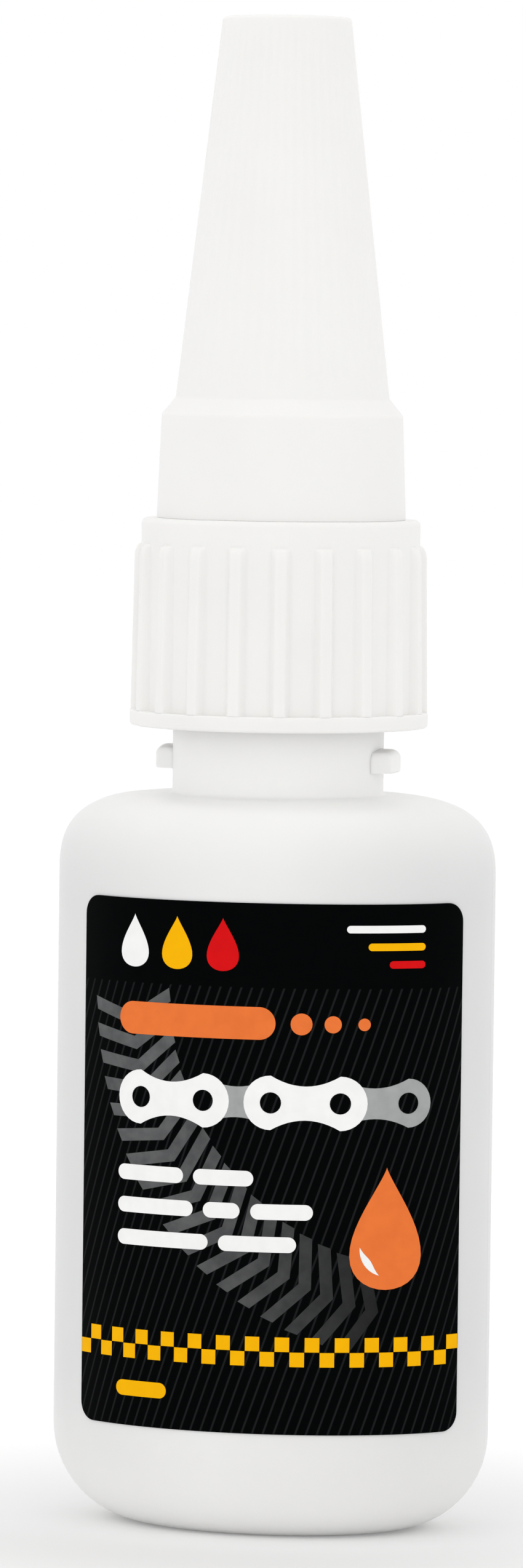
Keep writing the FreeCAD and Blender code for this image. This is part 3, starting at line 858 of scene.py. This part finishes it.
def cut_columns(piece, across):
    form = bmesh.new()
    form.from_mesh(piece.data)
    for direction in across:
        reach = [vertex.co.dot(direction) / (COLUMN * MM) for vertex in form.verts]
        for number in range(math.ceil(min(reach)), math.ceil(max(reach))):
            everything = form.verts[:] + form.edges[:] + form.faces[:]
            bmesh.ops.bisect_plane(form, geom=everything, plane_co=direction * number * COLUMN * MM,
                                   plane_no=direction, dist=CUT_TOLERANCE)
    bmesh.ops.triangulate(form, faces=form.faces[:])
    form.to_mesh(piece.data)
    form.free()


def wind(name, outlines, lift, thickness, finish, count=1, start=(0, 0), step=(0, 0), turn=0.0):
    """A sheet of ink or film on the wall, or a row of them; one that turns is cut both ways."""
    piece = make_piece(name, *sheet_of(outlines, lift, thickness), finish)
    cut_columns(piece, [Vector((1, 0, 0)), Vector((0, 1, 0))] if turn else [Vector((1, 0, 0))])
    run_tree(piece, wind_on_wall, {
        "Count": count, "Start": Vector((*start, 0)) * MM, "Step": Vector((*step, 0)) * MM, "Turn": turn,
        "Half Width": bottle_high.x * MM, "Half Depth": bottle_high.y * MM, "Finish": finish})
    smooth(piece)
    return piece


print("sheets ready")

# %% [markdown]
# ## The film's edges
# The frame gives the label's sides as places across the bottle. On the flat film they are lengths along
# the wall, which are longer, because the wall curves away. An oval's length has no plain formula, so many
# short pieces of it are added up.

# %% Edges of the film
WALL_PARTS = 400


def along_wall(x):
    """Length of the wall from the middle of the front to a place x."""
    end = math.asin(x / bottle_high.x)
    turns = [end * (k + 0.5) / WALL_PARTS for k in range(WALL_PARTS)]
    lengths = [math.hypot(bottle_high.x * math.cos(t), bottle_high.y * math.sin(t)) for t in turns]
    return sum(lengths) * end / WALL_PARTS


LEFT, RIGHT, FOOT, HEAD = along_wall(label_low.x), along_wall(label_high.x), label_low.z, label_high.z
print("film, mm:", round(RIGHT - LEFT, 1), "x", round(HEAD - FOOT, 1))

# %% [markdown]
# ## Printed inks
# Inks are flat colours in name only: a press lays them a little unevenly, so each varies slightly in tone
# and gloss. One noise drives both, so that a thin spot differs in both at once.

# %% Finish: printed ink
GRAINS_PER_METRE, INK_DETAIL, INK_ROUGHNESS, INK_SHEEN = 900.0, 2.0, (0.37, 0.47), 0.04


def ink(name, full, thin, sheen=INK_SHEEN):
    finish = bpy.data.materials.new(name)
    finish.use_nodes = True
    tree = finish.node_tree
    shader = tree.nodes["Principled BSDF"]
    place = add_node(tree, "ShaderNodeTexCoord").outputs["Object"]
    laid = add_node(tree, "ShaderNodeTexNoise", {
        "Vector": place, "Scale": GRAINS_PER_METRE, "Detail": INK_DETAIL}).outputs["Fac"]
    tree.links.new(tones(tree, laid, thin, full), shader.inputs["Base Color"])
    gloss = add_node(tree, "ShaderNodeMapRange", {
        "Value": laid, "To Min": INK_ROUGHNESS[0], "To Max": INK_ROUGHNESS[1]})
    tree.links.new(gloss.outputs[0], shader.inputs["Roughness"])
    shader.inputs["Specular IOR Level"].default_value = sheen
    return finish


print("ink ready")

# %% [markdown]
# ## Patterns on the film
# Below a plain top band the film has fine slanting lines, and the grey of the tyre track fades from left
# to right. Both follow the film, so they read the flat place that the winding left on the points. They
# could be more sheets of ink, but lines this fine cost fewer points as a pattern. Each pattern is a share
# from 0 to 1, by which a second tone is mixed over the first.

# %% Patterns on the film
LINE_PITCH, LINE_WIDTH, LINE_LEAN, LINE_SOFTNESS = 0.79, 0.15, 0.35, 0.5
BAND, BAND_SOFTNESS, FADE_LEFT, FADE_RIGHT = 6.2, 0.05, 5.0, 3.0


def flat_place(tree):
    """The length along the wall and the height that the winding stored."""
    spot = add_node(tree, "ShaderNodeAttribute", attribute_name="flat_place").outputs["Vector"]
    return add_node(tree, "ShaderNodeSeparateXYZ", {0: spot}).outputs[:2]


def overlay(finish, share, tone):
    """Mix a tone over a finish's colour, by a share that its tree works out."""
    tree = finish.node_tree
    colour = tree.nodes["Principled BSDF"].inputs["Base Color"]
    mix = add_node(tree, "ShaderNodeMix", data_type="RGBA")
    sockets = {socket.identifier: socket for socket in mix.inputs}
    tree.links.new(share, sockets["Factor_Float"])
    tree.links.new(colour.links[0].from_socket, sockets["A_Color"])
    sockets["B_Color"].default_value = (*tone, 1.0)
    tree.links.new(mix.outputs[2], colour)


def line_share(tree):
    along, up = flat_place(tree)
    slanted = maths(tree, "SUBTRACT", along, maths(tree, "MULTIPLY", up, LINE_LEAN))
    phase = maths(tree, "FRACT", maths(tree, "DIVIDE", slanted, LINE_PITCH * MM))
    beside = maths(tree, "ABSOLUTE", maths(tree, "SUBTRACT", phase, 0.5))
    half = LINE_WIDTH / LINE_PITCH / 2
    line = soft_step(tree, beside, half * (1 + LINE_SOFTNESS), half * (1 - LINE_SOFTNESS))
    band_foot = HEAD - BAND
    below = soft_step(tree, up, (band_foot + BAND_SOFTNESS) * MM, (band_foot - BAND_SOFTNESS) * MM)
    return maths(tree, "MULTIPLY", line, below)


def fade_share(tree):
    return soft_step(tree, flat_place(tree)[0], (LEFT + FADE_LEFT) * MM, (RIGHT - FADE_RIGHT) * MM)


print("patterns ready")

# %% [markdown]
# ## Film and six inks
# The film is black all over, with its lines in a dark grey. Each colour on it is an ink of its own, as a
# press has one plate for each, so a colour is changed in one place.

# %% Film and six inks
FILM_TONE, FILM_THIN_TONE, FILM_SHEEN = (0.0009, 0.0013, 0.0014), (0.0006, 0.0009, 0.0010), 0.015
LINE_TONE, FADED_TONE = (0.0125, 0.0130, 0.0140), (0.008, 0.0082, 0.0085)

black_film = ink("black_film", FILM_TONE, FILM_THIN_TONE, FILM_SHEEN)
overlay(black_film, line_share(black_film.node_tree), LINE_TONE)
inks = {
    "white": ink("white_ink", (0.95, 0.95, 0.94), (0.91, 0.91, 0.90)),
    "silver": ink("silver_ink", (0.40, 0.41, 0.41), (0.34, 0.35, 0.35)),
    "cloud_and_shade_tone": ink("grey_ink", (0.13, 0.132, 0.134), (0.085, 0.087, 0.089)),
    "orange": ink("orange_ink", (0.87, 0.20, 0.045), (0.81, 0.18, 0.040)),
    "yellow": ink("yellow_ink", (0.98, 0.49, 0.001), (0.94, 0.46, 0.001)),
    "red": ink("red_ink", (0.72, 0.006, 0.008), (0.66, 0.005, 0.007)),
}
overlay(inks["cloud_and_shade_tone"], fade_share(inks["cloud_and_shade_tone"].node_tree), FADED_TONE)
print("inks:", sorted(inks))

# %% [markdown]
# ## The print
# The design is a plain one of its own in the colours of such labels: a tyre track in grey, a strip of
# chain links in white, rows of rounded bars, oil drops, and a chequered strip. Every motif is a short
# outline. What repeats, such as links, track blocks and squares, is drawn once and repeated by the
# winding tree.

# %% Round motifs
DOT_POINTS, DROP_POINTS, BAR_END, DROP_FULLNESS, DROP_POINTING = 24, 40, 0.001, 0.65, 1.5


def arc(centre, radius, start, end, steps=10):
    turns = [math.radians(start + (end - start) * k / steps) for k in range(steps + 1)]
    return [(centre[0] + radius * math.cos(t), centre[1] + radius * math.sin(t)) for t in turns]


def dot(centre, radius):
    return arc(centre, radius, 0, 360 - 360 / DOT_POINTS, DOT_POINTS - 1)


def rounded_card(left, foot, right, head, corner):
    x_low, x_high, y_low, y_high = left + corner, right - corner, foot + corner, head - corner
    return (arc((x_high, y_low), corner, -90, 0) + arc((x_high, y_high), corner, 0, 90)
            + arc((x_low, y_high), corner, 90, 180) + arc((x_low, y_low), corner, 180, 270))


def bar(left, foot, width, height):
    """A bar with round ends, each with a sliver of straight edge so that no two points meet."""
    return rounded_card(left, foot, left + width, foot + height, height / 2 - BAR_END)


def oil_drop(centre, width, height):
    turns = [math.tau * k / DROP_POINTS for k in range(DROP_POINTS)]
    return [(centre[0] - width * DROP_FULLNESS * math.sin(t) * math.sin(t / 2) ** DROP_POINTING,
             centre[1] + height / 2 * math.cos(t)) for t in turns]


def glint(centre, radius, thickness, start, end, steps=12):
    """A crescent inside a round form."""
    inner = []
    for k in range(steps - 1, 0, -1):
        t = math.radians(start + (end - start) * k / steps)
        reach = radius - thickness * math.sin(math.pi * k / steps)
        inner.append((centre[0] + reach * math.cos(t), centre[1] + reach * math.sin(t)))
    return arc(centre, radius, start, end, steps) + inner


print("round motifs ready")

# %% [markdown]
# ## Links and tread
# A chain's plate has two round ends and a narrow waist, and a tyre's tread is a row of V-shaped blocks. A
# rule gives each outline from a few sizes, so it can be fitted to the film, as a traced drawing couldn't.

# %% Chain plate and track block
PLATE_STEPS, PLATE_END_STEPS = 12, 16


def chain_plate(pin, pitch, radius, waist):
    """A plate from one pin to the next, with a narrow middle."""
    half = pitch / 2
    middle = (pin[0] + half, pin[1])
    notch = [(half - pitch * k / PLATE_STEPS, waist + (radius - waist) * (2 * k / PLATE_STEPS - 1) ** 2)
             for k in range(PLATE_STEPS + 1)]
    upper = [(middle[0] + dx, middle[1] + dy) for dx, dy in notch]
    lower = [(middle[0] - dx, middle[1] - dy) for dx, dy in notch]
    right_end = arc((pin[0] + pitch, pin[1]), radius, -90, 90, PLATE_END_STEPS)
    left_end = arc(pin, radius, 90, 270, PLATE_END_STEPS)
    return right_end[1:-1] + upper + left_end[1:-1] + lower


def track_block(radius, turn, half_width, thickness, sweep):
    """A V across a track that bends round the origin, pointing along it."""
    inner, outer, back = radius - half_width, radius + half_width, -sweep - thickness
    outline = [(inner, -sweep), (inner, back), (radius, -thickness),
               (outer, back), (outer, -sweep), (radius, 0)]
    return [(x * math.cos(turn) - y * math.sin(turn), x * math.sin(turn) + y * math.cos(turn))
            for x, y in outline]


print("links and tread ready")

# %% [markdown]
# ## Film and tyre track
# The film is a black card with round corners. A tyre's track bends across it behind all other print: one
# V-shaped block, turned a little farther each time round a point near the film's right edge. The grey
# ink fades into the black on its way.

# %% Film and tyre track
FILM_CORNER, FILM_BODY, INK_BODY = 1.4, 0.1, 0.008
FILM_LIFT, TRACK_LIFT, INK_LIFT, OVERPRINT_LIFT, PIN_LIFT = 0.0, 0.102, 0.113, 0.124, 0.135
TRACK_MIDDLE, TRACK_RADIUS, TRACK_HALF_WIDTH = (RIGHT - 1.5, FOOT + 33.0), 24.5, 3.4
TRACK_START, TRACK_TURN, TRACK_BLOCKS = math.radians(188), math.radians(4.1), 18
BLOCK_THICKNESS, BLOCK_SWEEP = 1.0, 1.5

card = rounded_card(LEFT, FOOT, RIGHT, HEAD, FILM_CORNER)
film_piece = wind("label_film", [card], FILM_LIFT, FILM_BODY, black_film)
block = track_block(TRACK_RADIUS, TRACK_START, TRACK_HALF_WIDTH, BLOCK_THICKNESS, BLOCK_SWEEP)
track = wind("track_print", [block], TRACK_LIFT, INK_BODY, inks["cloud_and_shade_tone"],
             TRACK_BLOCKS, TRACK_MIDDLE, turn=TRACK_TURN)
print("track faces:", len(track.data.polygons))

# %% [markdown]
# ## Chain strip
# A printed bicycle chain has two kinds of plate in turn, white outer ones over silver inner ones, and a
# round pin at each joint. Each kind is drawn once and repeated two pitches apart, the pins one pitch.

# %% Chain strip
MARGIN = LEFT + 3.8
PIN_PITCH, PIN_DOT, PLATE_RADIUS, PLATE_WAIST, CHAIN_LEVEL = 5.1, 0.78, 2.0, 1.25, FOOT + 24.4
INNER_SHARE, PLATE_COUNT, PIN_COUNT = 0.9, 2, 5
first_pin = (MARGIN + PLATE_RADIUS, CHAIN_LEVEL)
second_pin = (first_pin[0] + PIN_PITCH, CHAIN_LEVEL)

inner_plate = chain_plate(second_pin, PIN_PITCH, PLATE_RADIUS * INNER_SHARE, PLATE_WAIST * INNER_SHARE)
outer_plate = chain_plate(first_pin, PIN_PITCH, PLATE_RADIUS, PLATE_WAIST)
inner_plates = wind("inner_plate_print", [inner_plate], INK_LIFT, INK_BODY, inks["silver"],
                    PLATE_COUNT, step=(2 * PIN_PITCH, 0))
outer_plates = wind("outer_plate_print", [outer_plate], OVERPRINT_LIFT, INK_BODY, inks["white"],
                    PLATE_COUNT, step=(2 * PIN_PITCH, 0))
pins = wind("pin_print", [dot(first_pin, PIN_DOT)], PIN_LIFT, INK_BODY, black_film,
            PIN_COUNT, step=(PIN_PITCH, 0))
print("chain strip, mm:", round((PIN_COUNT - 1) * PIN_PITCH + 2 * PLATE_RADIUS, 1))

# %% [markdown]
# ## Bars and drops
# Bars of different lengths stand in rows under the chain strip. Three small oil drops share the top band
# with three short bars, in white, yellow and red, and one large orange drop has a glint on its belly. All
# shapes of one ink are one sheet, as one plate of the press prints them.

# %% Bars and drops
# A bar in a row is its start from the margin, its height above the film's foot, and its length.
ROW_BARS = [(0, 18.2, 5.6), (6.4, 18.2, 4.6), (0, 15.8, 6.4), (7.2, 15.8, 2.8), (10.8, 15.8, 4.6),
            (0, 13.4, 7.6), (8.4, 13.4, 5.8)]
ROW_BAR_HEIGHT, LOWEST_BAR_LEVEL, LOWEST_BAR = 1.15, 2.2, 4.4
# A short bar is its length, and its depth under the film's head.
SHORT_BARS = ((6.0, 2.1), (4.4, 3.4), (2.8, 4.7))
SHORT_HEIGHT, SHORT_MARGIN = 0.55, 3.4
SMALL_DROP, SMALL_STEP, SMALL_START, SMALL_DEPTH = (2.7, 3.9), 3.6, 1.3, 3.1
DROP_MIDDLE, DROP_SIZE = (RIGHT - 6.2, FOOT + 15.2), (6.0, 9.0)
WIDE_BAR_LEVEL, WIDE_BAR, WIDE_BAR_HEIGHT = 29.0, 12.5, 2.4
DOT_COUNT, DOT_START, DOT_STEP, DOT_LEVEL, DOT_RADIUS, DOT_SHRINK = 3, 14.4, 2.3, 30.2, 0.8, 0.17
BELLY_SHARE, GLINT_SHARE, GLINT_THICKNESS, GLINT_START, GLINT_END = 0.17, 0.33, 0.55, 175, 255

small_drops = [oil_drop((MARGIN + SMALL_START + SMALL_STEP * k, HEAD - SMALL_DEPTH), *SMALL_DROP)
               for k in range(len(SHORT_BARS))]
short_bars = [bar(RIGHT - SHORT_MARGIN - length, HEAD - depth, length, SHORT_HEIGHT)
              for length, depth in SHORT_BARS]
white_bars = [bar(MARGIN + start, FOOT + level, width, ROW_BAR_HEIGHT) for start, level, width in ROW_BARS]
lowest_bar = bar(MARGIN, FOOT + LOWEST_BAR_LEVEL, LOWEST_BAR, ROW_BAR_HEIGHT)
wide_bar = bar(MARGIN, FOOT + WIDE_BAR_LEVEL, WIDE_BAR, WIDE_BAR_HEIGHT)
dots = [dot((MARGIN + DOT_START + DOT_STEP * k, FOOT + DOT_LEVEL), DOT_RADIUS - DOT_SHRINK * k)
        for k in range(DOT_COUNT)]
belly = (DROP_MIDDLE[0], DROP_MIDDLE[1] - DROP_SIZE[1] * BELLY_SHARE)
crescent = glint(belly, DROP_SIZE[0] * GLINT_SHARE, GLINT_THICKNESS, GLINT_START, GLINT_END)

plates = {
    "white": white_bars + [small_drops[0], short_bars[0]],
    "yellow": [small_drops[1], short_bars[1], lowest_bar],
    "red": [small_drops[2], short_bars[2]],
    "orange": [wide_bar, oil_drop(DROP_MIDDLE, *DROP_SIZE)] + dots,
}
ink_sheets = [wind(f"{colour}_print", shapes, INK_LIFT, INK_BODY, inks[colour])
              for colour, shapes in plates.items()]
shine = wind("glint_print", [crescent], OVERPRINT_LIFT, INK_BODY, inks["white"])
print("bars:", len(white_bars) + len(short_bars) + 2)

# %% [markdown]
# ## Chequered strip
# Two rows of yellow squares cross the film from edge to edge. A pair of squares, one in each row, is
# repeated side by side. A hair of room round each square keeps the sheets from touching at corners.

# %% Chequered strip
CHEQUER_PAIRS, CHEQUER_FOOT, EDGE_GAP, SQUARE_GAP = 14, FOOT + 5.0, 0.05, 0.015
SQUARE = (RIGHT - LEFT - 2 * EDGE_GAP) / (2 * CHEQUER_PAIRS)


def square(column, row):
    left = LEFT + EDGE_GAP + column * SQUARE + SQUARE_GAP
    foot = CHEQUER_FOOT + row * SQUARE + SQUARE_GAP
    side = SQUARE - 2 * SQUARE_GAP
    return [(left, foot), (left + side, foot), (left + side, foot + side), (left, foot + side)]


chequers = wind("chequer_print", [square(0, 0), square(1, 1)], OVERPRINT_LIFT, INK_BODY, inks["yellow"],
                CHEQUER_PAIRS, step=(2 * SQUARE, 0))
prints = [track, inner_plates, outer_plates, pins, *ink_sheets, shine, chequers]
print("print sheets:", len(prints))

# %% [markdown]
# ## Bodies
# The label and its print stay on the bottle, the nozzle lifts off the neck, and the cap lifts off the
# nozzle. Each mesh rides the body of the solid that it stands for.

# %% Ride the bodies
stand_ins = (
    (bottle, "bottle", "bottle", "bottle_plastic"),
    (film_piece, "bottle", "label", "label_film"),
    (nozzle, "nozzle", "nozzle", "nozzle_plastic"),
    (cap, "cap", "cap", "cap_plastic"),
)
for piece, body, node, slot in stand_ins:
    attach(piece, body)
    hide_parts(node)
for piece in prints:
    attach(piece, "bottle")

# %% [markdown]
# ## Floor and room
# The bottle stands in soft light from all round. A darker world could light it with lamps alone, but pale
# plastic wants an even room. The world is plain white where it is seen or mirrored, and a little less as
# light, so that nothing pale burns out. The floor is a pale sheet that takes the shadow; where it is seen
# or mirrored, away from the bottle, it is lifted to white. It is also lifted a little in the gap under the
# round edge of the base, where milky plastic lets light through to the floor. The lift is no light on the
# bottle, because only rays from the camera or a reflection meet it.

# %% Floor and room
WHITE, FLOOR_HALF, FLOOR_TONE, ROOM_LIGHT = (1, 1, 1, 1), 2000.0, 0.90, 0.97
LIFT_START, LIFT_END, LIFT = 15.0, 60.0, 0.15
GAP_START, GAP_END, GAP_LIFT = 1.05, 0.5, 0.22


def seen_rays(tree):
    """1 for rays from the camera, a reflection or a clear body, and 0 for rays that carry light."""
    path = add_node(tree, "ShaderNodeLightPath").outputs
    mirrored = maths(tree, "MAXIMUM", path["Is Glossy Ray"], path["Is Transmission Ray"])
    return maths(tree, "MAXIMUM", path["Is Camera Ray"], mirrored)


def floor_finish():
    """A pale diffuse sheet, lifted away from the bottle and in the gap under the edge of its base."""
    finish = bpy.data.materials.new("pale_floor")
    finish.use_nodes = True
    tree = finish.node_tree
    tree.nodes.clear()
    place = add_node(tree, "ShaderNodeTexCoord").outputs["Object"]
    distance = vectors(tree, "LENGTH", place)
    far = maths(tree, "MULTIPLY", soft_step(tree, distance, LIFT_START * MM, LIFT_END * MM), LIFT)
    wall_size = (HALF_WIDTH * MM, HALF_DEPTH * MM, 1.0)
    under = vectors(tree, "LENGTH", vectors(tree, "DIVIDE", place, wall_size))
    lifted = maths(tree, "MULTIPLY_ADD", soft_step(tree, under, GAP_START, GAP_END), GAP_LIFT, far)
    strength = maths(tree, "MULTIPLY", lifted, seen_rays(tree))
    sheet = add_node(tree, "ShaderNodeBsdfDiffuse", {"Color": (FLOOR_TONE,) * 3 + (1.0,)}).outputs[0]
    lift = add_node(tree, "ShaderNodeEmission", {"Color": WHITE, "Strength": strength}).outputs[0]
    both = add_node(tree, "ShaderNodeAddShader", {0: sheet, 1: lift}).outputs[0]
    add_node(tree, "ShaderNodeOutputMaterial", {"Surface": both})
    return finish


def white_room():
    """A world that is white where it is seen, and gives a little less as light."""
    world = bpy.data.worlds.new("white_room")
    world.use_nodes = True
    tree = world.node_tree
    tree.nodes.clear()
    strength = maths(tree, "MULTIPLY_ADD", seen_rays(tree), 1.0 - ROOM_LIGHT, ROOM_LIGHT)
    sky = add_node(tree, "ShaderNodeBackground", {"Color": WHITE, "Strength": strength}).outputs[0]
    add_node(tree, "ShaderNodeOutputWorld", {"Surface": sky})
    return world


floor_corners = [(x * FLOOR_HALF, y * FLOOR_HALF, 0) for x, y in ((-1, -1), (1, -1), (1, 1), (-1, 1))]
floor = make_piece("floor", floor_corners, [[0, 1, 2, 3]], floor_finish())
bpy.context.scene.world = white_room()
print("floor, m:", 2 * FLOOR_HALF * MM)

# %% [markdown]
# ## Lamps
# Two large soft panels, one in front and one above, give a gentle shine on shoulder and cap. A small lamp
# would draw hard shadows. Both are weak, because the white room gives most of the light.

# %% Lamps
LAMP_AIM = (0, 0, 0.055)


def panel(name, place, size, watts):
    light = bpy.data.lights.new(name, "AREA")
    light.shape = "RECTANGLE"
    light.size, light.size_y = size
    light.energy = watts
    lamp = bpy.data.objects.new(name, light)
    lamp.location = place
    aim = Vector(LAMP_AIM) - Vector(place)
    lamp.rotation_euler = aim.to_track_quat("-Z", "Y").to_euler()
    bpy.context.scene.collection.objects.link(lamp)


panel("front_panel", place=(0.1, -0.85, 0.2), size=(0.8, 0.36), watts=0.3)
panel("top_panel", place=(0.0, -0.1, 0.9), size=(0.7, 0.7), watts=0.4)
print("lamps:", len(bpy.data.lights))

# %% [markdown]
# ## Camera
# The bottle is seen from the front, a little from the right and from above, through a long lens that
# keeps upright edges nearly parallel. The camera stands back along that direction, and leans by a small
# roll.

# %% Camera
YAW, PITCH, ROLL = math.radians(15.0), math.radians(3.385), math.radians(0.706)
DISTANCE, AIM_LEVEL, AIM_ASIDE = 0.5917, 0.05524, -0.00122
FOCAL_PIXELS, IMAGE_LONG_SIDE, SENSOR = 12929.5, 2549, 36.0

back = Vector((math.sin(YAW) * math.cos(PITCH), -math.cos(YAW) * math.cos(PITCH), math.sin(PITCH)))
right = Vector((math.cos(YAW), math.sin(YAW), 0))
up = back.cross(right)
camera_data = bpy.data.cameras.new("camera")
camera_data.sensor_width = SENSOR
camera_data.lens = SENSOR * FOCAL_PIXELS / IMAGE_LONG_SIDE
camera = bpy.data.objects.new("camera", camera_data)
bpy.context.scene.collection.objects.link(camera)
leaned_right = right * math.cos(ROLL) + up * math.sin(ROLL)
leaned_up = up * math.cos(ROLL) - right * math.sin(ROLL)
turned = Matrix((leaned_right, leaned_up, back)).transposed().to_4x4()
stand = Vector((0, 0, AIM_LEVEL)) + right * AIM_ASIDE + back * DISTANCE
camera.matrix_world = Matrix.Translation(stand) @ turned
bpy.context.scene.camera = camera
bpy.context.scene.view_settings.view_transform = "Standard"
print("lens, mm:", round(camera_data.lens, 1))
